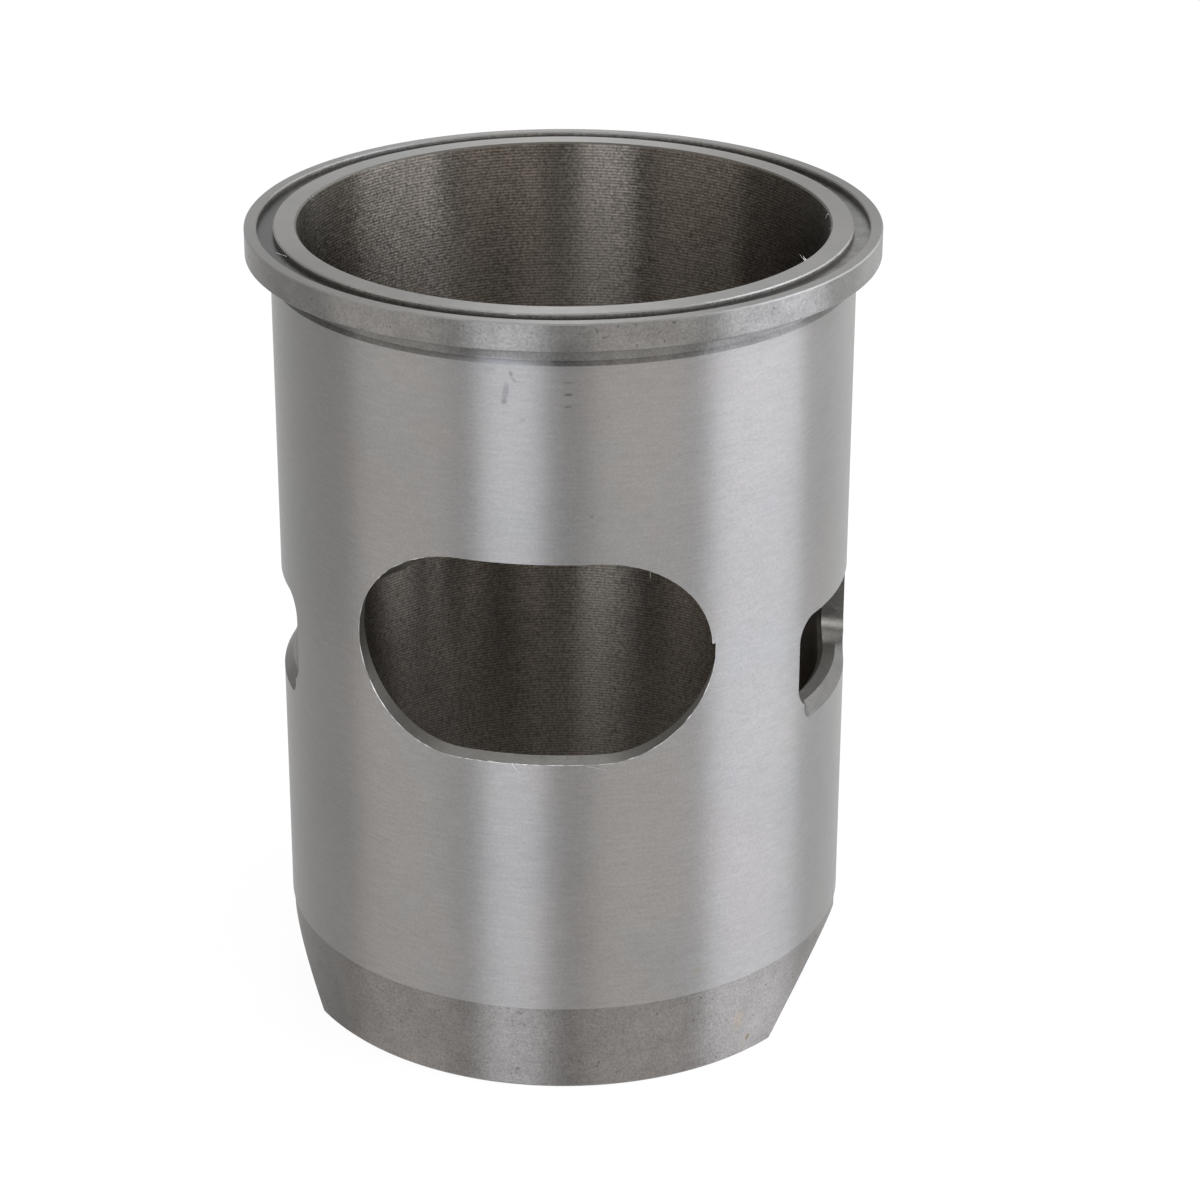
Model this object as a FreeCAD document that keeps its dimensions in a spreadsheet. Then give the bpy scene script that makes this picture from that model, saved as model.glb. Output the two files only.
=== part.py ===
import FreeCAD, Part
import math
import os
import Sketcher

# Ported cylinder liner of a two-stroke engine: one turned iron tube with a
# flange at the deck, milled port windows and a cut-back skirt.
# The origin is at the centre of the foot, +Z runs up the bore to the deck, and
# the exhaust port faces -Y. Lengths are in millimetres, angles in degrees.

doc = FreeCAD.newDocument("CylinderLiner")

# Driving dimensions
SIZES = (
    ("total_height", 126.3, "foot to deck"),
    ("bore_diameter", 81.0, "honed bore"),
    ("upper_bore_length", 28.0, "deck to the level where the bore's two faces meet"),
    ("bore_bevel", 0.25, "edge break where the bore meets the deck"),
    ("wall_thickness", 4.07, "bore to the ground body, a close fit in the block"),
    ("flange_overhang", 3.78, "body to the rim of the flange that hangs the liner"),
    ("flange_thickness", 4.27, "deck to the seat under the flange"),
    ("flange_bevel", 0.2, "edge breaks of the flange rim"),
    ("fire_ring_width", 3.5, "bore to the outside of the flat ring round it"),
    ("seal_groove_width", 2.45, "seal groove in the deck, round the fire ring"),
    ("seal_groove_depth", 1.1, "deck to the seal groove's floor"),
    ("seal_groove_bevel", 0.2, "edge breaks of the seal groove"),
    ("neck_depth", 0.62, "how far the neck is turned below the body"),
    ("neck_height", 2.7, "straight neck under the flange"),
    ("skirt_height", 14.2, "rough turned band above the foot"),
    ("skirt_step", 0.27, "how far that band is turned below the body"),
    ("foot_bevel", 0.6, "outer bevel of the foot"),
    ("foot_bore_bevel", 0.8, "lead-in bevel at the bottom of the bore"),
    ("skirt_cut_facing", 81.0, "way a skirt cut faces, from the exhaust axis"),
    ("skirt_cut_depth", 5.47, "body's surface to a skirt cut, at the foot"),
    ("skirt_cut_angle", 23.4, "lean of the skirt cuts from the bore axis"),
    ("port_floor_depth", 70.4, "deck to every port floor, bottom dead centre"),
    ("exhaust_height", 32.3, "exhaust port, floor to top"),
    ("exhaust_width", 53.0, "exhaust port, end to end"),
    ("exhaust_ledge", 0.45, "ledge where the cutter's two passes meet"),
    ("exhaust_ledge_rise", 1.1, "height of that ledge above the port's middle"),
    ("transfer_angle", 79.0, "main transfer port, from the exhaust axis"),
    ("transfer_width", 28.6, "main transfer port, across its cut"),
    ("transfer_height", 15.2, "transfer ports, floor to top"),
    ("auxiliary_angle", 122.0, "auxiliary transfer port, from the exhaust axis"),
    ("auxiliary_width", 20.0, "auxiliary transfer port, across its cut"),
    ("boost_width", 24.0, "boost port opposite the exhaust, across its cut"),
    ("boost_height", 14.2, "boost port, floor to top"),
    ("window_corner", 3.9, "corner radius of the transfer and boost ports"),
    ("flare_depth", 1.42, "depth of the flare in a main transfer port's floor"),
    ("flare_angle", 56.0, "half angle of the cone that cuts the flare"),
    ("flare_front_margin", 3.7, "front side of the port to the flare's end"),
    ("flare_rear_margin", 2.1, "rear side of the port to the flare's end"),
    ("port_bevel", 0.7, "bevel of the ports' edges in the bore"),
)

sheet = doc.addObject("Spreadsheet::Sheet", "Sizes")
for row, (alias, number, note) in enumerate(SIZES, start=1):
    sheet.set(f"A{row}", str(number))
    sheet.setAlias(f"A{row}", alias)
    sheet.set(f"B{row}", note)
doc.recompute()

# How far a cutting profile runs past the metal that it removes
OVERRUN = 3.0
# Heights that several profiles share
DECK = "Sizes.total_height"
SEAT = "(Sizes.total_height - Sizes.flange_thickness)"
PORT_FLOOR = "(Sizes.total_height - Sizes.port_floor_depth)"
# Radii that several profiles share
BORE = "(Sizes.bore_diameter / 2)"
BODY = f"({BORE} + Sizes.wall_thickness)"
FLANGE = f"({BODY} + Sizes.flange_overhang)"

liner = doc.addObject("PartDesign::Body", "Liner")
liner.Label = "cylinder_liner"


def evaluate(expression):
    """The present value of an expression in the sheet's names."""
    return float(sheet.evalExpression(expression))


def origin_feature(role):
    """The liner's own origin plane or axis with the given role."""
    return next(item for item in liner.Origin.OriginFeatures if item.Role == role)


def new_sketch(name, turn=None):
    """A sketch on the plane of +X and +Z, turned about +Z by an expression in degrees."""
    sketch = liner.newObject("Sketcher::SketchObject", name)
    sketch.AttachmentSupport = (origin_feature("XZ_Plane"), [""])
    sketch.MapMode = "FlatFace"
    if turn:
        about_z = FreeCAD.Rotation(FreeCAD.Vector(0, 1, 0), 1.0)
        sketch.AttachmentOffset = FreeCAD.Placement(FreeCAD.Vector(), about_z)
        sketch.setExpression(".AttachmentOffset.Rotation.Angle", turn)
    return sketch


def hold(sketch, kind, geometry, point, expression):
    """Set one point's distance from the sketch's origin, along X or along Y."""
    distance = Sketcher.Constraint(kind, -1, 1, geometry, point, evaluate(expression))
    index = sketch.addConstraint(distance)
    sketch.setExpression(f"Constraints[{index}]", expression)


def draw_profile(sketch, corners):
    """A closed outline whose corners are given as expressions for X and Y."""
    points = [FreeCAD.Vector(evaluate(x), evaluate(y), 0) for x, y in corners]
    ends = points[1:] + points[:1]
    for start, end in zip(points, ends):
        sketch.addGeometry(Part.LineSegment(start, end), False)
    for index in range(len(points)):
        following = (index + 1) % len(points)
        sketch.addConstraint(Sketcher.Constraint("Coincident", index, 2, following, 1))
    for index, (x, y) in enumerate(corners):
        hold(sketch, "DistanceX", index, 1, x)
        hold(sketch, "DistanceY", index, 1, y)


def arc(centre_x, centre_y, radius, start, end):
    """An arc that runs counter-clockwise between two angles in degrees."""
    circle = Part.Circle(FreeCAD.Vector(centre_x, centre_y, 0), FreeCAD.Vector(0, 0, 1), radius)
    return Part.ArcOfCircle(circle, math.radians(start), math.radians(end))


def new_feature(kind, name):
    """A feature that leaves neighbouring faces apart, as they are drawn."""
    feature = liner.newObject(kind, name)
    feature.Refine = False
    return feature


def revolve_profile(kind, name, sketch, axis, angle="360"):
    """A revolution or a groove of the sketch about an axis, centred on the sketch."""
    feature = new_feature(kind, name)
    feature.Profile = sketch
    feature.ReferenceAxis = axis
    feature.Midplane = True
    feature.setExpression("Angle", angle)
    sketch.Visibility = False
    doc.recompute()
    return feature


def turn_cut(name, corners):
    """A cut turned all round the bore axis."""
    sketch = new_sketch(name + "Profile")
    draw_profile(sketch, corners)
    return revolve_profile("PartDesign::Groove", name, sketch, (origin_feature("Z_Axis"), [""]))


def mill_outwards(name, sketch):
    """Cut the sketch's outline through one wall, away from the bore axis."""
    pocket = new_feature("PartDesign::Pocket", name)
    pocket.Profile = sketch
    pocket.Type = "Length"
    pocket.Reversed = True
    pocket.setExpression("Length", f"{BODY} + {OVERRUN}")
    sketch.Visibility = False
    doc.recompute()
    return pocket


# Turned blank: bore, ground body, flange and rough turned skirt. The bore is
# drawn in two lengths, so the whole wall above the ports is a face of its own
blank_profile = new_sketch("BlankProfile")
draw_profile(blank_profile, (
    (BORE, "Sizes.foot_bore_bevel"),
    (f"{BORE} + Sizes.foot_bore_bevel", "0"),
    (f"{BODY} - Sizes.skirt_step - Sizes.foot_bevel", "0"),
    (f"{BODY} - Sizes.skirt_step", "Sizes.foot_bevel"),
    (f"{BODY} - Sizes.skirt_step", "Sizes.skirt_height"),
    (BODY, "Sizes.skirt_height"),
    (BODY, SEAT),
    (f"{FLANGE} - Sizes.flange_bevel", SEAT),
    (FLANGE, f"{SEAT} + Sizes.flange_bevel"),
    (FLANGE, f"{DECK} - Sizes.flange_bevel"),
    (f"{FLANGE} - Sizes.flange_bevel", DECK),
    (f"{BORE} + Sizes.bore_bevel", DECK),
    (BORE, f"{DECK} - Sizes.bore_bevel"),
    (BORE, f"{DECK} - Sizes.upper_bore_length"),
))
revolve_profile("PartDesign::Revolution", "Blank", blank_profile, (origin_feature("Z_Axis"), [""]))

# Neck relief under the flange, running out to the body on a 45 degree bevel
turn_cut("NeckRelief", (
    (f"{BODY} - Sizes.neck_depth", SEAT),
    (f"{BODY} - Sizes.neck_depth", f"{SEAT} - Sizes.neck_height"),
    (f"{BODY} + {OVERRUN}", f"{SEAT} - Sizes.neck_height - Sizes.neck_depth - {OVERRUN}"),
    (f"{BODY} + {OVERRUN}", SEAT),
))

# Seal groove in the deck, between the fire ring and the flange rim
FIRE_RING = f"({BORE} + Sizes.fire_ring_width)"
GROOVE_OUTSIDE = f"({FIRE_RING} + Sizes.seal_groove_width)"
turn_cut("SealGroove", (
    (f"{FIRE_RING} - Sizes.seal_groove_bevel - {OVERRUN}", f"{DECK} + {OVERRUN}"),
    (FIRE_RING, f"{DECK} - Sizes.seal_groove_bevel"),
    (FIRE_RING, f"{DECK} - Sizes.seal_groove_depth"),
    (GROOVE_OUTSIDE, f"{DECK} - Sizes.seal_groove_depth"),
    (GROOVE_OUTSIDE, f"{DECK} - Sizes.seal_groove_bevel"),
    (f"{GROOVE_OUTSIDE} + Sizes.seal_groove_bevel + {OVERRUN}", f"{DECK} + {OVERRUN}"),
))


def draw_window(sketch, width, top, radius):
    """A rounded rectangle that stands on the port floor, centred on the bore axis."""
    right = evaluate(f"{width} / 2")
    high = evaluate(top)
    low = evaluate(PORT_FLOOR)
    round_by = evaluate(radius)
    inner = right - round_by
    sketch.addGeometry([
        Part.LineSegment(FreeCAD.Vector(-inner, high, 0), FreeCAD.Vector(inner, high, 0)),
        arc(inner, high - round_by, round_by, 0, 90),
        Part.LineSegment(
            FreeCAD.Vector(right, high - round_by, 0), FreeCAD.Vector(right, low + round_by, 0)),
        arc(inner, low + round_by, round_by, 270, 360),
        Part.LineSegment(FreeCAD.Vector(inner, low, 0), FreeCAD.Vector(-inner, low, 0)),
        arc(-inner, low + round_by, round_by, 180, 270),
        Part.LineSegment(
            FreeCAD.Vector(-right, low + round_by, 0), FreeCAD.Vector(-right, high - round_by, 0)),
        arc(-inner, high - round_by, round_by, 90, 180),
    ], False)
    for side in (0, 2, 4, 6):
        following = (side + 2) % 8
        sketch.addConstraint(Sketcher.Constraint("Tangent", side, 2, side + 1, 2))
        sketch.addConstraint(Sketcher.Constraint("Tangent", side + 1, 1, following, 1))
    for level in (0, 4):
        sketch.addConstraint(Sketcher.Constraint("Horizontal", level))
    for upright in (2, 6):
        sketch.addConstraint(Sketcher.Constraint("Vertical", upright))
    for corner in (3, 5, 7):
        sketch.addConstraint(Sketcher.Constraint("Equal", 1, corner))
    index = sketch.addConstraint(Sketcher.Constraint("Radius", 1, round_by))
    sketch.setExpression(f"Constraints[{index}]", radius)
    hold(sketch, "DistanceX", 2, 1, f"{width} / 2")
    hold(sketch, "DistanceX", 6, 1, f"-{width} / 2")
    hold(sketch, "DistanceY", 0, 1, top)
    hold(sketch, "DistanceY", 4, 1, PORT_FLOOR)


# Exhaust port: an obround milled straight outwards in two passes, which meet on
# a small ledge at one end
exhaust_outline = new_sketch("ExhaustOutline")
END_RADIUS = "(Sizes.exhaust_height / 2)"
MIDDLE = f"({PORT_FLOOR} + {END_RADIUS})"
LEFT_CENTRE = f"({END_RADIUS} - Sizes.exhaust_width / 2)"
UPPER_CENTRE = f"(Sizes.exhaust_width / 2 - {END_RADIUS})"
LOWER_CENTRE = f"({UPPER_CENTRE} + Sizes.exhaust_ledge)"
end_radius = evaluate(END_RADIUS)
middle = evaluate(MIDDLE)
left, upper, lower = (evaluate(x) for x in (LEFT_CENTRE, UPPER_CENTRE, LOWER_CENTRE))
top, floor = middle + end_radius, middle - end_radius
ledge = middle + evaluate("Sizes.exhaust_ledge_rise")
ledge_turn = math.degrees(math.asin((ledge - middle) / end_radius))
ledge_out = math.sqrt(end_radius ** 2 - (ledge - middle) ** 2)
exhaust_outline.addGeometry([
    Part.LineSegment(FreeCAD.Vector(left, top, 0), FreeCAD.Vector(upper, top, 0)),
    arc(upper, middle, end_radius, ledge_turn, 90),
    Part.LineSegment(
        FreeCAD.Vector(upper + ledge_out, ledge, 0), FreeCAD.Vector(lower + ledge_out, ledge, 0)),
    arc(lower, middle, end_radius, -90, ledge_turn),
    Part.LineSegment(FreeCAD.Vector(lower, floor, 0), FreeCAD.Vector(left, floor, 0)),
    arc(left, middle, end_radius, 90, 270),
], False)
for joint in ((0, 2, 1, 2), (3, 1, 4, 1), (4, 2, 5, 2), (5, 1, 0, 1)):
    exhaust_outline.addConstraint(Sketcher.Constraint("Tangent", *joint))
for joint in ((1, 1, 2, 1), (2, 2, 3, 2)):
    exhaust_outline.addConstraint(Sketcher.Constraint("Coincident", *joint))
for level in (0, 2, 4):
    exhaust_outline.addConstraint(Sketcher.Constraint("Horizontal", level))
for end in (3, 5):
    exhaust_outline.addConstraint(Sketcher.Constraint("Equal", 1, end))
index = exhaust_outline.addConstraint(Sketcher.Constraint("Radius", 1, end_radius))
exhaust_outline.setExpression(f"Constraints[{index}]", END_RADIUS)
hold(exhaust_outline, "DistanceX", 1, 3, UPPER_CENTRE)
hold(exhaust_outline, "DistanceX", 3, 3, LOWER_CENTRE)
hold(exhaust_outline, "DistanceX", 5, 3, LEFT_CENTRE)
hold(exhaust_outline, "DistanceY", 5, 3, MIDDLE)
hold(exhaust_outline, "DistanceY", 2, 1, f"{MIDDLE} + Sizes.exhaust_ledge_rise")
mill_outwards("ExhaustPort", exhaust_outline)

# Boost port opposite the exhaust
boost_outline = new_sketch("BoostOutline", "180")
draw_window(
    boost_outline, "Sizes.boost_width", f"{PORT_FLOOR} + Sizes.boost_height", "Sizes.window_corner")
mill_outwards("BoostPort", boost_outline)

# Transfer ports of one side
TRANSFER_TOP = f"({PORT_FLOOR} + Sizes.transfer_height)"
main_outline = new_sketch("MainTransferOutline", "Sizes.transfer_angle")
draw_window(main_outline, "Sizes.transfer_width", TRANSFER_TOP, "Sizes.window_corner")
main_transfer = mill_outwards("MainTransfer", main_outline)
auxiliary_outline = new_sketch("AuxiliaryOutline", "Sizes.auxiliary_angle")
draw_window(auxiliary_outline, "Sizes.auxiliary_width", TRANSFER_TOP, "Sizes.window_corner")
auxiliary_transfer = mill_outwards("AuxiliaryTransfer", auxiliary_outline)

# Flare in the main transfer port's floor: a pointed cutter run round the wall
# with its tip level with the floor, which leaves a cone at each end of its path
FLARE_TIP = f"({BODY} - Sizes.flare_depth)"
FLARE_RIM = f"({BODY} + {OVERRUN})"
FLARE_RISE = f"((Sizes.flare_depth + {OVERRUN}) * tan(Sizes.flare_angle))"
FRONT_END = f"asin((Sizes.transfer_width / 2 - Sizes.flare_front_margin) / {BODY})"
REAR_END = f"asin((Sizes.transfer_width / 2 - Sizes.flare_rear_margin) / {BODY})"
SIDEWAYS = "(Sizes.transfer_angle * 1 deg - 90 deg)"
flare_profile = new_sketch("FlareProfile", f"{SIDEWAYS} + ({REAR_END} - {FRONT_END}) / 2")
draw_profile(flare_profile, (
    (FLARE_TIP, PORT_FLOOR),
    (FLARE_RIM, f"{PORT_FLOOR} - {FLARE_RISE}"),
    (FLARE_RIM, f"{PORT_FLOOR} + {FLARE_RISE}"),
))
flare = revolve_profile(
    "PartDesign::Groove", "Flare", flare_profile, (origin_feature("Z_Axis"), [""]),
    f"{FRONT_END} + {REAR_END}")


def flare_end(name, turn):
    """The cone that the cutter leaves where its path ends."""
    sketch = new_sketch(name + "Profile", turn)
    draw_profile(sketch, (
        (FLARE_TIP, PORT_FLOOR),
        (FLARE_RIM, f"{PORT_FLOOR} - {FLARE_RISE}"),
        (FLARE_RIM, PORT_FLOOR),
    ))
    tip = FreeCAD.Vector(evaluate(FLARE_TIP), evaluate(PORT_FLOOR), 0)
    rim = FreeCAD.Vector(evaluate(FLARE_RIM), evaluate(PORT_FLOOR), 0)
    axis = sketch.addGeometry(Part.LineSegment(tip, rim), True)
    sketch.addConstraint(Sketcher.Constraint("Coincident", axis, 1, 0, 1))
    sketch.addConstraint(Sketcher.Constraint("Coincident", axis, 2, 2, 1))
    return revolve_profile("PartDesign::Groove", name, sketch, (sketch, ["Axis0"]))


flare_front = flare_end("FlareFrontEnd", f"{SIDEWAYS} - {FRONT_END}")
flare_rear = flare_end("FlareRearEnd", f"{SIDEWAYS} + {REAR_END}")

# Flat cut across one side of the skirt
SKIRT_CUT = f"({BODY} - Sizes.skirt_cut_depth)"
skirt_outline = new_sketch("SkirtCutOutline", "Sizes.skirt_cut_facing - 90")
draw_profile(skirt_outline, (
    (f"{SKIRT_CUT} - {OVERRUN} * tan(Sizes.skirt_cut_angle)", f"-{OVERRUN}"),
    (f"{BODY} + {OVERRUN}", f"-{OVERRUN}"),
    (f"{BODY} + {OVERRUN}", f"(Sizes.skirt_cut_depth + {OVERRUN}) / tan(Sizes.skirt_cut_angle)"),
))
skirt_cut = new_feature("PartDesign::Pocket", "SkirtCut")
skirt_cut.Profile = skirt_outline
skirt_cut.Type = "ThroughAll"
skirt_cut.Midplane = True
skirt_outline.Visibility = False
doc.recompute()

# The other side mirrors the transfer ports, their flares and the skirt cut
other_side = new_feature("PartDesign::Mirrored", "OtherSide")
other_side.Originals = [
    main_transfer, auxiliary_transfer, flare, flare_front, flare_rear, skirt_cut]
other_side.MirrorPlane = (origin_feature("YZ_Plane"), [""])
liner.Tip = other_side
doc.recompute()


def is_port_edge(edge):
    """Whether an edge lies where a port window breaks into the bore."""
    low = evaluate(PORT_FLOOR) - OVERRUN
    high = evaluate(DECK) - evaluate("Sizes.seal_groove_depth")
    if edge.Degenerated or edge.isClosed():
        return False
    points = edge.discretize(7)
    on_bore = all(abs(math.hypot(at.x, at.y) - evaluate(BORE)) < 0.001 for at in points)
    return on_bore and all(low < at.z < high for at in points)


port_edges = [
    f"Edge{number}" for number, edge in enumerate(other_side.Shape.Edges, start=1)
    if is_port_edge(edge)]
port_bevel = new_feature("PartDesign::Chamfer", "PortBevel")
port_bevel.Base = (other_side, port_edges)
port_bevel.setExpression("Size", "Sizes.port_bevel")
liner.Tip = port_bevel
doc.recompute()

for item in doc.Objects:
    if "Invalid" in item.State or "Error" in item.State:
        raise RuntimeError(f"{item.Label} failed to recompute: {item.State}")
shape = liner.Shape
if shape.isNull() or not shape.isValid() or len(shape.Solids) != 1:
    raise RuntimeError("the liner is not one valid solid")

os.makedirs("parts", exist_ok=True)
shape.exportStep(f"parts/{liner.Label}.step")
print(f"{liner.Label}: {shape.Volume:.1f} mm3, box {shape.BoundBox}")
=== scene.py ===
import math

import bmesh
import bpy
from mathutils import Matrix, Vector, noise


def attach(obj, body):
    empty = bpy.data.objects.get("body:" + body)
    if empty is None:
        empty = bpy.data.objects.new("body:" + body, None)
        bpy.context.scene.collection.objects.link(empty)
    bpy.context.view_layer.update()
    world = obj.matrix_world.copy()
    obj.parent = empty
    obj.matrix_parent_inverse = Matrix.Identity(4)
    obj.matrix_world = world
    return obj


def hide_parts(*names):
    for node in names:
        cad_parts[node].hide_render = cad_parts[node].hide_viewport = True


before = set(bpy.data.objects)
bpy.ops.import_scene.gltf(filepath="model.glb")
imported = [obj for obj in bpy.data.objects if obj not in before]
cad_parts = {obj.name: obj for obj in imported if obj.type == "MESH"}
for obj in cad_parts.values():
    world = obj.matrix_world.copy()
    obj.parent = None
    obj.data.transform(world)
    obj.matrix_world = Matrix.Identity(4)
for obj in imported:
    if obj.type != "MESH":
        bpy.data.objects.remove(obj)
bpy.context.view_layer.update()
scene = bpy.context.scene

# Radii and levels of the liner, in metres
MM = 0.001
DECK = 126.3 * MM
BORE = 40.5 * MM
BODY = 44.57 * MM
SKIRT = 44.3 * MM
SKIRT_TOP = 14.2 * MM
SEAT = DECK - 4.27 * MM
NECK_FOOT = SEAT - 3.4 * MM
GROOVE = 46.45 * MM
GROOVE_MIDDLE = 45.2 * MM
GROOVE_FLOOR = DECK - 1.1 * MM
BORING_PITCH = 0.5 * MM

# Radii and levels that tell its surfaces from one another
ON_ROUND = 0.02 * MM
BORE_INSIDE = BORE - 0.05 * MM
BORE_NEAR = BORE + 0.2 * MM
PORT_EDGE = BORE + 0.8 * MM
SKIRT_INSIDE = SKIRT - 0.05 * MM
BODY_NEAR = BODY - 0.1 * MM
FLANGE_NEAR = BODY + 0.3 * MM
GROOVE_NEAR = GROOVE + 0.05 * MM
RING_LOW = DECK - 0.15 * MM
BREAK_LOW = DECK - 0.3 * MM
GROOVE_LOW = GROOVE_FLOOR - 0.1 * MM
NECK_LOW = NECK_FOOT - 0.1 * MM
SKIRT_HIGH = SKIRT_TOP + 0.1 * MM
MILLED_LOW = 1 * MM
MILLED_HIGH = NECK_FOOT - 1 * MM

# Rise of a face, the upward part of its unit normal: that of the skirt cuts, how
# far a face may be from it, and limits for other faces
CUT_RISE = math.sin(math.radians(23.4))
CUT_SLACK = 0.03
UPRIGHT_RISE = 0.1
TOP_RISE = 0.3
FLOOR_RISE = 0.9
LEVEL_RISE = 0.999

# Limits for the parts of a unit normal that point across the radius and along it
ACROSS_SLACK = 0.02
OUTWARD = 0.15

# How far the exhaust side reaches to the left and right, in radians
FRONT = math.radians(45)

# How finely the rounds are divided, and from which angle an edge is sharp
FINEST_CHORD = math.radians(1.3)
SHARP_ANGLE = math.radians(24)
MERGE_REACH = 1e-6
KEY_DIGITS = 7


def azimuth(point):
    """Angle about the bore axis, from the exhaust side towards +X."""
    return math.atan2(point.x, -point.y)


def turned_to(angle, reference):
    """The angle moved by whole turns to lie within half a turn of the reference."""
    return angle + 2 * math.pi * round((reference - angle) / (2 * math.pi))


def on_circle(angle, radius, level):
    """A point at an angle from the exhaust side towards +X."""
    return Vector((radius * math.sin(angle), -radius * math.cos(angle), level))


def place_key(point):
    return tuple(round(c, KEY_DIGITS) for c in point)


def long_chords(mesh):
    """Edges along turned circles that span more than the finest angle, with their ends."""
    chords = []
    for edge in mesh.edges:
        a, b = (vertex.co for vertex in edge.verts)
        same_radius = abs(a.xy.length - b.xy.length) < ON_ROUND
        if not same_radius or a.xy.length < BORE_INSIDE:
            continue
        if abs(turned_to(azimuth(b), azimuth(a)) - azimuth(a)) > FINEST_CHORD:
            chords.append((edge, a.copy(), b.copy()))
    return chords


def refine_rounds(mesh):
    """Split every chord of a turned circle until none spans more than the finest angle."""
    chords = long_chords(mesh)
    while chords:
        middles = {}
        for edge, a, b in chords:
            start = azimuth(a)
            angle = (start + turned_to(azimuth(b), start)) / 2
            radius = (a.xy.length + b.xy.length) / 2
            middle = (a + b) / 2
            middles[place_key(middle)] = on_circle(angle, radius, middle.z)
        made = bmesh.ops.subdivide_edges(mesh, edges=[edge for edge, a, b in chords], cuts=1)
        for item in made["geom_inner"]:
            if isinstance(item, bmesh.types.BMVert):
                target = middles.get(place_key(item.co))
                if target:
                    item.co = target
        bmesh.ops.triangulate(mesh, faces=[f for f in mesh.faces if len(f.verts) > 3])
        chords = long_chords(mesh)


def build_liner():
    """The liner with finely divided rounds and sharp machined edges."""
    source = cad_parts["cylinder_liner"]
    data = source.data.copy()
    data.materials.clear()
    mesh = bmesh.new()
    mesh.from_mesh(data)
    bmesh.ops.remove_doubles(mesh, verts=mesh.verts, dist=MERGE_REACH)
    refine_rounds(mesh)
    for face in mesh.faces:
        face.smooth = True
    for edge in mesh.edges:
        edge.smooth = len(edge.link_faces) == 2 and edge.calc_face_angle() < SHARP_ANGLE
    mesh.to_mesh(data)
    mesh.free()
    liner = bpy.data.objects.new("liner", data)
    scene.collection.objects.link(liner)
    return liner


def is_turned(polygon):
    """Whether a face of the liner lies on a surface that is round about the bore axis."""
    centre = polygon.center
    radius = centre.xy.length
    rise = abs(polygon.normal.z)
    milled = MILLED_LOW < centre.z < MILLED_HIGH or abs(rise - CUT_RISE) < CUT_SLACK
    if UPRIGHT_RISE < rise < LEVEL_RISE and milled and radius < SKIRT_INSIDE:
        return False
    across = Vector((-centre.y, centre.x, 0)).normalized()
    if rise > LEVEL_RISE or abs(polygon.normal.dot(across)) < ACROSS_SLACK:
        return True
    return radius > BODY - ON_ROUND or radius < BORE + ON_ROUND


def deck_zone(radius, level, rise):
    """The finish of a turned face near the deck, or None below it."""
    if BORE < radius < BORE_NEAR and level > BREAK_LOW and abs(rise) > UPRIGHT_RISE:
        return "bore_edge"
    if level > GROOVE_LOW and radius < GROOVE_NEAR:
        if level > RING_LOW:
            return "ring_top"
        return "groove" if rise > FLOOR_RISE else "groove_wall"
    if radius > FLANGE_NEAR:
        return "rim_top" if level > BREAK_LOW and rise > TOP_RISE else "flange_side"
    return None


def turned_zone(radius, level, rise):
    """The finish of a turned face, or None where it belongs to a port."""
    near_deck = deck_zone(radius, level, rise)
    if near_deck:
        return near_deck
    upright = abs(rise) < UPRIGHT_RISE
    if radius < BORE_NEAR and upright:
        return "bore"
    if radius > BODY_NEAR and upright and level > SKIRT_TOP:
        return "body"
    if level > NECK_LOW:
        return "neck"
    return "skirt" if level < SKIRT_HIGH else None


def zone_of(polygon):
    """The finish that a face of the liner has."""
    centre = polygon.center
    radius = centre.xy.length
    if is_turned(polygon):
        zone = turned_zone(radius, centre.z, polygon.normal.z)
        if zone:
            return zone
    if centre.z < SKIRT_TOP:
        return "skirt_cut"
    if radius < PORT_EDGE and abs(azimuth(centre)) > FRONT:
        return "bore_edge"
    return "flare" if polygon.normal.xy.dot(centre.xy.normalized()) > OUTWARD else "port"


def true_normals(data):
    """Corner normals that follow the turned surfaces exactly."""
    normals = [Vector(corner.vector) for corner in data.corner_normals]
    for polygon in data.polygons:
        if not is_turned(polygon) or abs(polygon.normal.z) > LEVEL_RISE:
            continue
        outward = Vector((polygon.center.x, polygon.center.y, 0)).normalized()
        radial = polygon.normal.dot(outward)
        for loop in polygon.loop_indices:
            at = data.vertices[data.loops[loop].vertex_index].co
            out = Vector((at.x, at.y, 0)).normalized()
            normals[loop] = Vector((out.x * radial, out.y * radial, polygon.normal.z)).normalized()
    return normals


# Node settings that all finishes of the iron share
CLOUD_SCALE = 55.0
LINE_SCALE = (300.0, 300.0, 2600.0)
LINE_DEPTH = 0.35
PORE_LEVEL = 0.72
PORE_DEPTH = 0.5
PORE_ROUGHNESS = 0.15
ROUGHNESS_SPREAD = 0.05
BUMP_DEPTH = 0.01 * MM
MARK_DEPTH = 5 * MM
# Length after which the wave texture repeats at scale 1, in metres
WAVE_LENGTH = 0.314


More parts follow.
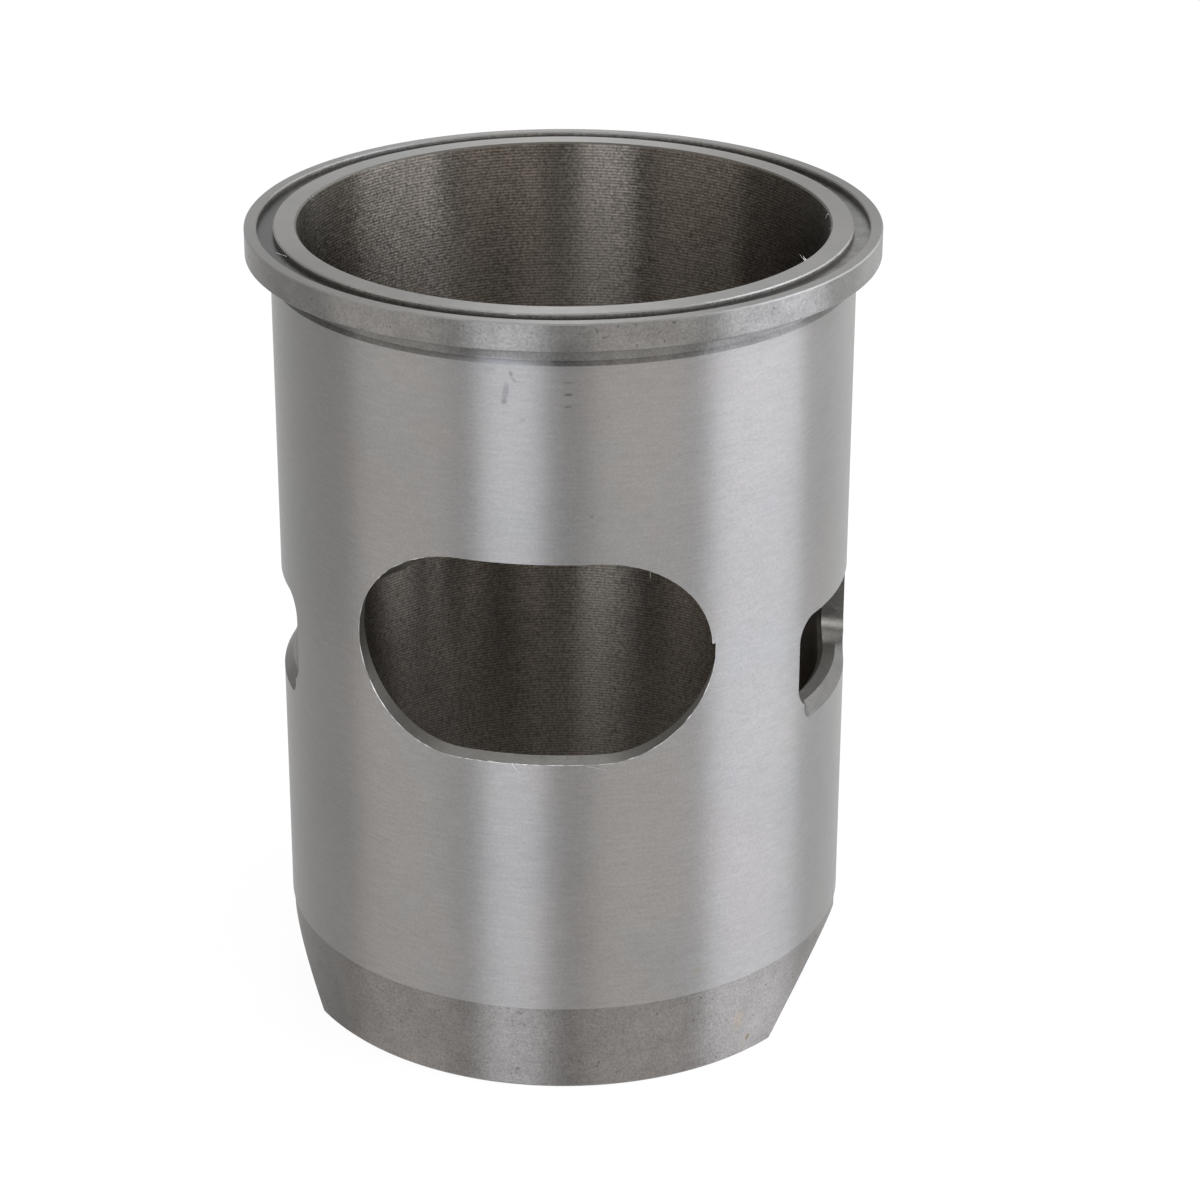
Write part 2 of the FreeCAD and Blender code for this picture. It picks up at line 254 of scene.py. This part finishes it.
class Nodes:
    """Short calls for building one node tree."""

    def __init__(self, tree):
        self.tree = tree
        self.coordinates = None

    @property
    def place(self):
        """Where on its object a shaded point lies, in metres."""
        if self.coordinates is None:
            self.coordinates = self.add("ShaderNodeTexCoord").outputs["Object"]
        return self.coordinates

    def add(self, kind, sockets=None, **settings):
        """A new node with its settings and with its named sockets fed."""
        node = self.tree.nodes.new(kind)
        for name, value in settings.items():
            setattr(node, name, value)
        for name, value in (sockets or {}).items():
            self.link(value, node.inputs[name])
        return node

    def link(self, value, socket):
        """Feed a socket from another socket or with a constant."""
        if isinstance(value, bpy.types.NodeSocket):
            self.tree.links.new(value, socket)
        else:
            socket.default_value = value

    def noise(self, scale, detail=2.0, roughness=0.5):
        """Noise with one scale, or with one for each axis."""
        vector = self.place
        if isinstance(scale, tuple):
            vector = self.add("ShaderNodeMapping", {"Vector": vector, "Scale": scale}).outputs[0]
            scale = 1.0
        sockets = {"Vector": vector, "Scale": scale, "Detail": detail, "Roughness": roughness}
        return self.add("ShaderNodeTexNoise", sockets).outputs["Fac"]

    def lathe_lines(self, pitch):
        """Even rings round the bore axis, slightly uneven in spacing."""
        sockets = {
            "Vector": self.place, "Scale": WAVE_LENGTH / pitch, "Distortion": 1.2, "Detail": 2.0,
            "Detail Scale": 0.25}
        wave = self.add("ShaderNodeTexWave", sockets, wave_type="BANDS", bands_direction="Z")
        return wave.outputs["Fac"]

    def level(self):
        """How high above the foot a shaded point lies."""
        return self.add("ShaderNodeSeparateXYZ", {"Vector": self.place}).outputs["Z"]

    def length(self, vector):
        measured = self.add("ShaderNodeVectorMath", operation="LENGTH")
        self.link(vector, measured.inputs[0])
        return measured.outputs["Value"]

    def ramp(self, value, low, high, start=0.0, end=1.0):
        """Map low..high to start..end with soft ends."""
        node = self.add("ShaderNodeMapRange", interpolation_type="SMOOTHSTEP")
        for socket, number in zip(node.inputs, (value, low, high, start, end)):
            self.link(number, socket)
        return node.outputs[0]

    def share(self, value, low, contrast):
        """A factor about 1 from a value whose middle range is low..1 - low."""
        return self.ramp(value, low, 1 - low, 1 - contrast, 1 + contrast)

    def math(self, operation, *values):
        node = self.add("ShaderNodeMath", operation=operation)
        for socket, value in zip(node.inputs, values):
            self.link(value, socket)
        return node.outputs[0]

    def spot(self, turn, level, radius, half_width, half_height, tilt):
        """A soft oval on a turned surface: 1 at its middle, 0 outside."""
        angle = math.radians(turn)
        oval = self.add("ShaderNodeMapping", {
            "Vector": self.place,
            "Location": on_circle(angle, radius, level * MM),
            "Rotation": (0, math.radians(tilt), angle),
            "Scale": (half_width * MM, MARK_DEPTH, half_height * MM)}, vector_type="TEXTURE")
        return self.ramp(self.length(oval.outputs[0]), 0.4, 1.3, 1.0, 0.0)

    def shade(self, colour, factor):
        """The colour times a factor."""
        node = self.add("ShaderNodeVectorMath", operation="SCALE")
        self.link(colour, node.inputs[0])
        self.link(factor, node.inputs["Scale"])
        return node.outputs[0]

    def mix(self, factor, a, b):
        sockets = {"Factor": factor, "A": a, "B": b}
        return self.add("ShaderNodeMix", sockets, data_type="RGBA").outputs["Result"]


def iron(zone, cool, warm, roughness, smear=0.0, brushed=0.04, rings=None, mottle=(60.0, 0.02),
         grain=(2600.0, 0.05, 0.3), pits=None, marks_and_painted_light=(), radius=BODY, painted_light_fade=None):
    """One finish of the iron.

    brushed is the contrast of the fine grinding lines. rings are even lathe
    rings: pitch, contrast and depth. mottle is a soft cloudiness and grain a
    sandy one: scale and contrast, and the grain's depth. pits are small dark
    pores: scale, share and darkness. The marks lie on the turned face of the
    radius; they are stains, painted shade and painted highlights. The fade
    changes the finish upwards: lower and upper level, and the factor; it is
    painted light and shade by height.
    """
    material = bpy.data.materials.new("iron_" + zone)
    material.use_nodes = True
    nodes = Nodes(material.node_tree)
    lines = nodes.noise(LINE_SCALE, 3.0, 0.6)
    sand = nodes.noise(grain[0], 3.0, 0.6)
    cloud = nodes.noise(mottle[0], 4.0, 0.6)
    line_height = nodes.math("MULTIPLY", lines, LINE_DEPTH)
    height = nodes.math("ADD", line_height, nodes.math("MULTIPLY", sand, grain[2]))
    rough = nodes.ramp(sand, 0.2, 0.8, roughness - ROUGHNESS_SPREAD, roughness + ROUGHNESS_SPREAD)
    shares = [
        nodes.share(lines, 0.25, brushed), nodes.share(sand, 0.3, grain[1]),
        nodes.share(cloud, 0.3, mottle[1])]
    if rings:
        turned = nodes.lathe_lines(rings[0])
        shares.append(nodes.share(turned, 0.1, rings[1]))
        height = nodes.math("ADD", height, nodes.math("MULTIPLY", turned, rings[2]))
    if pits:
        low = PORE_LEVEL - pits[1]
        pores = nodes.ramp(nodes.noise(pits[0], 1.0), low, low + 0.05)
        shares.append(nodes.math("SUBTRACT", 1.0, nodes.math("MULTIPLY", pores, pits[2])))
        height = nodes.math("SUBTRACT", height, nodes.math("MULTIPLY", pores, PORE_DEPTH))
        rough = nodes.math("ADD", rough, nodes.math("MULTIPLY", pores, PORE_ROUGHNESS))
    # Painted light and shade: the colour changes by height
    if painted_light_fade:
        shares.append(nodes.ramp(nodes.level(), painted_light_fade[0], painted_light_fade[1], 1.0, painted_light_fade[2]))
    colour = nodes.mix(nodes.ramp(nodes.noise(CLOUD_SCALE, 3.0), 0.35, 0.65), (*cool, 1), (*warm, 1))
    for share in shares:
        colour = nodes.shade(colour, share)
    # The marks mixed into the colour: stains, painted shade and painted highlights
    for turn, level, half_width, half_height, tilt, strength, stain_and_painted_light in marks_and_painted_light:
        oval = nodes.spot(turn, level, radius, half_width, half_height, tilt)
        colour = nodes.mix(nodes.math("MULTIPLY", oval, strength), colour, (*stain_and_painted_light, 1))
    finish_metal(nodes, colour, rough, height, smear)
    return material


def finish_metal(nodes, colour, rough, height, smear):
    """Feed the metal shader. smear draws its highlights out along the bore axis."""
    shader = nodes.tree.nodes["Principled BSDF"]
    bump = nodes.add("ShaderNodeBump", {
        "Strength": 1.0, "Distance": BUMP_DEPTH, "Height": height})
    nodes.link(colour, shader.inputs["Base Color"])
    nodes.link(rough, shader.inputs["Roughness"])
    nodes.link(bump.outputs[0], shader.inputs["Normal"])
    nodes.link(1.0, shader.inputs["Metallic"])
    if smear:
        tangent = nodes.add("ShaderNodeTangent", direction_type="RADIAL", axis="Z")
        nodes.link(tangent.outputs[0], shader.inputs["Tangent"])
        shader.inputs["Anisotropic"].default_value = smear
        shader.inputs["Anisotropic Rotation"].default_value = 0.25


# Marks, which are stains, painted shade and painted highlights: turn from the exhaust
# side in degrees and level in millimetres, half width and half height, tilt, strength and colour
DARK = (0.035, 0.035, 0.036)
GREY = (0.09, 0.09, 0.095)
RUST = (0.10, 0.065, 0.02)
TAN = (0.21, 0.165, 0.10)
BODY_MARKS = (
    (7.7, 116.24, 0.85, 0.12, 2, 0.35, DARK),
    (7.8, 114.45, 0.65, 0.22, -3, 0.52, DARK),
    (7.5, 112.63, 0.28, 0.16, 0, 0.50, DARK),
    (8.1, 112.65, 0.25, 0.16, 0, 0.45, DARK),
    (-4.0, 113.15, 0.50, 0.45, 8, 0.60, GREY),
    (-3.7, 114.6, 0.50, 1.60, 9, 0.45, GREY),
    (-2.7, 117.4, 0.30, 0.55, -15, 0.55, GREY),
    (-2.2, 116.5, 0.25, 0.50, -40, 0.45, GREY),
    (-0.6, 110.5, 0.50, 0.25, 0, 0.30, GREY),
    (-3.9, 111.6, 0.50, 0.15, 0, 0.20, GREY),
    (-7.2, 113.3, 0.90, 0.12, -25, 0.15, GREY),
    (15.1, 111.0, 0.30, 0.30, 0, 0.30, GREY),
    (-6.7, 117.9, 1.1, 0.35, 0, 0.22, GREY),
    (-1.2, 116.2, 0.6, 0.12, 10, 0.25, GREY),
    (12.1, 95.7, 0.30, 0.25, 0, 0.45, GREY),
    (34.1, 18.3, 0.9, 0.6, 0, 0.25, TAN),
)
# Painted shade: a near-black oval on the left side of the seal groove's floor, where the groove lies
# in shade
GROOVE_PAINTED_SHADE = ((-80.0, 125.2, 34.0, 3.0, 0, 0.85, (0.02, 0.02, 0.02)),)
# Painted highlight: a light band on the neck just left of the exhaust side, where the softboxes'
# highlight falls
NECK_PAINTED_HIGHLIGHT = ((-6.0, 118.7, 8.0, 0.8, 0, 0.45, (0.33, 0.33, 0.335)),)
SKIRT_MARKS = (
    (47.3, 2.85, 0.60, 0.22, -38, 0.85, RUST),
    (46.2, 2.45, 0.45, 0.25, -20, 0.45, TAN),
    (44.7, 6.6, 1.0, 1.6, 0, 0.30, TAN),
    (35.4, 12.9, 0.20, 0.18, 0, 0.75, DARK),
    (38.1, 12.1, 0.16, 0.14, 0, 0.60, DARK),
    (25.7, 11.8, 0.20, 0.16, 0, 0.60, DARK),
    (48.6, 6.3, 0.16, 0.16, 0, 0.60, DARK),
    (33.7, 9.3, 0.22, 0.30, 0, 0.40, DARK),
    (41.6, 7.4, 0.25, 0.16, 30, 0.50, DARK),
    (39.2, 1.3, 0.25, 0.20, 0, 0.45, DARK),
    (-2.5, 3.2, 0.35, 0.25, 20, 0.55, DARK),
)
IRON = dict(cool=(0.154, 0.146, 0.139), warm=(0.169, 0.159, 0.151))
ZONES = (
    "body", "bore", "bore_edge", "ring_top", "rim_top", "groove", "groove_wall", "flange_side",
    "neck", "skirt", "skirt_cut", "port", "flare")
FINISHES = {
    # Painted light: the body's lower part, below the exhaust, is painted lighter than its upper part
    "body": dict(
        cool=(0.207, 0.204, 0.200), warm=(0.213, 0.204, 0.197), roughness=0.41, smear=0.95,
        brushed=0.05, grain=(2900.0, 0.08, 0.4), marks_and_painted_light=BODY_MARKS,
        painted_light_fade=(58 * MM, 88 * MM, 0.944)),
    # Painted shade: the bore is painted about a third darker towards the deck than low down
    "bore": dict(
        cool=(0.154, 0.136, 0.116), warm=(0.169, 0.149, 0.126), roughness=0.325, smear=0.97,
        rings=(BORING_PITCH, 0.19, 1.15), mottle=(150.0, 0.06), grain=(2200.0, 0.31, 0.5),
        pits=(1700.0, 0.08, 0.2), painted_light_fade=(55 * MM, 88 * MM, 0.68)),
    # Painted shade: the bore's edge bevel and the ports' inner bevels are painted dark like the
    # shaded bore behind them
    "bore_edge": dict(
        cool=(0.080, 0.075, 0.066), warm=(0.090, 0.084, 0.073), roughness=0.45),
    "ring_top": dict(
        cool=(0.182, 0.178, 0.171), warm=(0.194, 0.188, 0.178), roughness=0.42, smear=0.7),
    "rim_top": dict(
        cool=(0.166, 0.163, 0.157), warm=(0.176, 0.171, 0.163), roughness=0.42, smear=0.7),
    "groove": dict(
        cool=(0.110, 0.108, 0.104), warm=(0.130, 0.126, 0.119), roughness=0.32,
        mottle=(500.0, 0.2), grain=(2300.0, 0.3, 1.0), marks_and_painted_light=GROOVE_PAINTED_SHADE, radius=GROOVE_MIDDLE),
    # Painted shade: the seal groove's walls are painted dark, and the fade paints their upper part
    # lighter where light reaches in
    "groove_wall": dict(
        cool=(0.084, 0.080, 0.074), warm=(0.096, 0.091, 0.083), roughness=0.45,
        grain=(2300.0, 0.2, 1.0), painted_light_fade=(DECK - 0.75 * MM, DECK - 0.3 * MM, 2.6)),
    "flange_side": dict(
        cool=(0.144, 0.140, 0.134), warm=(0.164, 0.159, 0.152), roughness=0.40, smear=1.0,
        mottle=(230.0, 0.09), grain=(2600.0, 0.16, 0.5), pits=(1500.0, 0.03, 0.25)),
    "neck": dict(
        cool=(0.140, 0.137, 0.132), warm=(0.160, 0.156, 0.150), roughness=0.40, smear=1.0,
        mottle=(230.0, 0.1), grain=(2400.0, 0.16, 0.5), marks_and_painted_light=NECK_PAINTED_HIGHLIGHT),
    "skirt": dict(
        IRON, roughness=0.42, smear=1.0, mottle=(190.0, 0.07), grain=(2700.0, 0.17, 1.0),
        pits=(1500.0, 0.02, 0.25), marks_and_painted_light=SKIRT_MARKS, radius=SKIRT),
    "skirt_cut": dict(IRON, roughness=0.5, mottle=(120.0, 0.04), grain=(2300.0, 0.12, 1.5)),
    "port": dict(
        cool=(0.235, 0.228, 0.214), warm=(0.256, 0.246, 0.229), roughness=0.38,
        grain=(2300.0, 0.1, 1.5), pits=(1500.0, 0.02, 0.25)),
    "flare": dict(
        cool=(0.064, 0.061, 0.057), warm=(0.074, 0.070, 0.065), roughness=0.42,
        mottle=(300.0, 0.1), grain=(2300.0, 0.16, 1.5)),
}

liner = build_liner()
for zone in ZONES:
    liner.data.materials.append(iron(zone, **FINISHES[zone]))
for polygon in liner.data.polygons:
    polygon.material_index = ZONES.index(zone_of(polygon))
liner.data.normals_split_custom_set(true_normals(liner.data))

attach(liner, "root")
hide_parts("cylinder_liner")

# Hairs of burr at the edges: turn in degrees, radius and level in millimetres
BURRS = (
    ((67.0, 40.75, 126.30), (66.6, 40.3, 126.9), (65.8, 40.2, 127.5)),
    ((67.6, 40.75, 126.30), (67.2, 40.4, 126.7), (67.5, 40.3, 126.9)),
    ((102.0, 40.75, 126.25), (101.6, 40.3, 125.8), (101.8, 40.1, 125.1)),
    ((92.0, 40.75, 126.25), (91.5, 40.4, 125.9), (92.5, 40.0, 125.3)),
    ((-100.0, 40.75, 126.3), (-98.0, 39.8, 126.0), (-97.5, 39.2, 126.9)),
    ((-98.0, 40.75, 126.3), (-96.5, 39.6, 126.1), (-95.0, 39.0, 126.8)),
    ((73.2, 43.95, 126.2), (73.6, 44.4, 126.4), (73.4, 44.7, 126.9)),
    ((-61.0, 44.0, 125.7), (-61.8, 44.8, 125.9), (-61.4, 45.5, 126.4)),
    ((-17.8, 44.0, 126.0), (-18.0, 44.5, 126.3), (-17.6, 44.9, 126.7)),
    ((-1.8, 44.0, 126.0), (-2.6, 45.0, 126.4), (-3.4, 44.2, 126.1)),
    ((23.2, 44.5, 86.3), (23.6, 44.3, 85.8), (23.4, 44.2, 85.2)),
    ((-7.7, 44.55, 56.0), (-6.8, 44.9, 56.3), (-5.7, 44.9, 55.9)),
    ((-3.1, 44.55, 56.1), (-2.6, 44.9, 55.4), (-1.5, 44.75, 54.5)),
    ((11.3, 44.55, 55.7), (13.0, 44.75, 55.5), (15.0, 44.7, 54.9)),
)

# The ridge of burr stays below a level, and above it left of an azimuth
RIDGE_TOP = 75 * MM
RIDGE_LEFT = math.radians(-20)

# Radius of a hair at its root and the share of it lost from point to point. The
# ridge's radius is a factor of it, with a middle value, a spread and a least value.
BURR_RADIUS = 0.045 * MM
BURR_TAPER = 0.35
RIDGE_RADIUS = 0.7
RIDGE_SPREAD = 3.0
RIDGE_LEAST = 0.15
RIDGE_NOISE_SCALE = 1500


def exhaust_links(data):
    """Neighbours of each corner along the left and lower edge of the exhaust port."""
    beside = {}
    for polygon in data.polygons:
        for key in polygon.edge_keys:
            beside.setdefault(key, set()).add(ZONES[polygon.material_index])
    links = {}
    for key, zones in beside.items():
        ends = [data.vertices[corner].co for corner in key]
        if zones != {"body", "port"} or any(abs(azimuth(end)) > FRONT for end in ends):
            continue
        if all(end.z < RIDGE_TOP or azimuth(end) < RIDGE_LEFT for end in ends):
            for corner, other in (key, key[::-1]):
                links.setdefault(corner, []).append(other)
    return links


def exhaust_runs(data):
    """The places of those corners in runs, each from one end to the other."""
    links = exhaust_links(data)
    tips = [corner for corner, others in links.items() if len(others) == 1]
    runs = []
    while tips:
        run = [tips.pop()]
        onward = links[run[-1]]
        while onward:
            run.append(onward[0])
            onward = [corner for corner in links[run[-1]] if corner not in run]
        if run[-1] in tips:
            tips.remove(run[-1])
        runs.append([data.vertices[corner].co.copy() for corner in run])
    return runs


def add_strand(hairs, burr):
    """One hair of burr, which thins towards its tip."""
    strand = hairs.splines.new("NURBS")
    strand.points.add(len(burr) - 1)
    for index, (turn, reach, level) in enumerate(burr):
        place = on_circle(math.radians(turn), reach * MM, level * MM)
        strand.points[index].co = (*place, 1)
        strand.points[index].radius = 1 - BURR_TAPER * index
    strand.order_u = 3
    strand.use_endpoint_u = True


def add_ridge(hairs, run):
    """A burr of uneven thickness along a run of corners."""
    ridge = hairs.splines.new("POLY")
    ridge.points.add(len(run) - 1)
    ridge.material_index = 1
    for point, place in zip(ridge.points, run):
        point.co = (*place, 1)
        thickness = RIDGE_RADIUS + RIDGE_SPREAD * noise.noise(place * RIDGE_NOISE_SCALE)
        point.radius = max(RIDGE_LEAST, thickness)


hairs = bpy.data.curves.new("burr_hairs", "CURVE")
hairs.dimensions = "3D"
hairs.bevel_depth = BURR_RADIUS
hairs.bevel_resolution = 1
hairs.use_fill_caps = True
for burr in BURRS:
    add_strand(hairs, burr)
for run in exhaust_runs(liner.data):
    add_ridge(hairs, run)
burr_hairs = bpy.data.objects.new("burr_hairs", hairs)
scene.collection.objects.link(burr_hairs)
hairs.materials.append(iron("burr", (0.38, 0.38, 0.37), (0.42, 0.41, 0.40), 0.35))
hairs.materials.append(iron(
    "ridge", (0.080, 0.078, 0.074), (0.110, 0.107, 0.101), 0.55, grain=(2300.0, 0.3, 2.0)))
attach(burr_hairs, "root")

# Floor and world: white to the camera
FLOOR_REACH = 3.0
FLOOR_GREY = (0.8, 0.8, 0.8, 1)
FLOOR_WHITE = 0.92
FLOOR_CLEAR = BORE + 0.8 * MM
WHITE_INSIDE = 0.13
WORLD_LIGHT = (0.615, 0.6, 0.575, 1)


def show_white(nodes, lit, output, share, clear=None):
    """Mix a lit shader with plain white for the camera, for gloss and for glass.

    Within the clear radius round the bore axis little of the white shows.
    """
    path = nodes.add("ShaderNodeLightPath")
    seen = path.outputs["Is Camera Ray"]
    for ray in ("Is Glossy Ray", "Is Transmission Ray"):
        seen = nodes.math("MAXIMUM", seen, path.outputs[ray])
    part = nodes.math("MULTIPLY", seen, share)
    if clear:
        outside = nodes.math("GREATER_THAN", nodes.length(nodes.place), clear)
        part = nodes.math("MULTIPLY", part, nodes.math("MAXIMUM", outside, WHITE_INSIDE))
    white = nodes.add("ShaderNodeEmission", {"Color": (1, 1, 1, 1)})
    mixed = nodes.add("ShaderNodeMixShader")
    for socket, value in zip(mixed.inputs, (part, lit, white.outputs[0])):
        nodes.link(value, socket)
    nodes.link(mixed.outputs[0], output.inputs[0])


floor_mesh = bpy.data.meshes.new("floor")
floor_shape = bmesh.new()
bmesh.ops.create_grid(floor_shape, x_segments=1, y_segments=1, size=FLOOR_REACH)
floor_shape.to_mesh(floor_mesh)
floor_shape.free()
floor = bpy.data.objects.new("floor", floor_mesh)
scene.collection.objects.link(floor)

paper = bpy.data.materials.new("paper_floor")
paper.use_nodes = True
paper.node_tree.nodes.clear()
paper_nodes = Nodes(paper.node_tree)
diffuse = paper_nodes.add("ShaderNodeBsdfDiffuse", {"Color": FLOOR_GREY})
paper_output = paper_nodes.add("ShaderNodeOutputMaterial")
show_white(paper_nodes, diffuse.outputs[0], paper_output, FLOOR_WHITE, FLOOR_CLEAR)
floor_mesh.materials.append(paper)

world = bpy.data.worlds.new("studio")
scene.world = world
world.use_nodes = True
background = world.node_tree.nodes["Background"]
background.inputs["Color"].default_value = WORLD_LIGHT
background.inputs["Strength"].default_value = 1.0
world_output = world.node_tree.nodes["World Output"]
show_white(Nodes(world.node_tree), background.outputs[0], world_output, 1.0)

# Lamps: azimuth from the exhaust side and elevation in degrees, width and height
# in metres, power in watts and colour. All face the middle of the liner.
COOL = (0.88, 0.915, 1.0)
WARM = (1.0, 0.955, 0.93)
EVEN = (0.93, 0.97, 1.0)
LAMP_DISTANCE = 1.2
LAMP_TARGET = Vector((0, 0, 0.063))
LAMPS = {
    "left_softbox": (-13, 22, 0.50, 0.9, 10.6, COOL),
    "right_softbox": (87, 22, 1.0, 0.9, 24.9, COOL),
    "front_softbox": (36, 22, 0.8, 0.9, 6.3, WARM),
    "far_left_softbox": (-57, 20, 0.95, 0.9, 6.3, WARM),
    "far_right_softbox": (132, 20, 0.9, 0.9, 5.2, EVEN),
    "top_softbox": (187, 60, 0.3, 0.6, 3.7, EVEN),
}


def soft_light(name, turn, rise, width, height, power, colour):
    """A rectangular lamp that faces the liner."""
    lamp = bpy.data.lights.new(name, "AREA")
    lamp.shape = "RECTANGLE"
    lamp.size = width
    lamp.size_y = height
    lamp.energy = power
    lamp.color = colour
    rise = math.radians(rise)
    towards = on_circle(math.radians(turn), math.cos(rise), math.sin(rise))
    lamp_object = bpy.data.objects.new(name, lamp)
    lamp_object.location = LAMP_TARGET + LAMP_DISTANCE * towards
    lamp_object.rotation_euler = (-towards).to_track_quat("-Z", "Y").to_euler()
    scene.collection.objects.link(lamp_object)


for name, settings in LAMPS.items():
    soft_light(name, *settings)

# Camera: where the photo was taken from, fitted to the edges of the liner
CAMERA_PLACE = (61.32 * MM, -499.43 * MM, 286.34 * MM)
HEADING = math.radians(6.353)
PITCH = 0.4172
ROLL = 0.0031
SENSOR_WIDTH = 36.0
LENS = 103.84


def camera_turn():
    """The camera's rotation: left by the heading, down by the pitch, tilted by the roll."""
    forward = Vector((
        -math.sin(HEADING) * math.cos(PITCH), math.cos(HEADING) * math.cos(PITCH), -math.sin(PITCH)))
    right = forward.cross(Vector((0, 0, 1))).normalized()
    above = right.cross(forward)
    tilted_right = right * math.cos(ROLL) + above * math.sin(ROLL)
    tilted_above = above * math.cos(ROLL) - right * math.sin(ROLL)
    return Matrix((tilted_right, tilted_above, -forward)).transposed().to_euler()


camera_data = bpy.data.cameras.new("camera")
camera_data.sensor_width = SENSOR_WIDTH
camera_data.lens = LENS
camera_data.clip_start = 0.01
camera = bpy.data.objects.new("camera", camera_data)
camera.location = CAMERA_PLACE
camera.rotation_euler = camera_turn()
scene.collection.objects.link(camera)
scene.camera = camera

scene.view_settings.view_transform = "Standard"
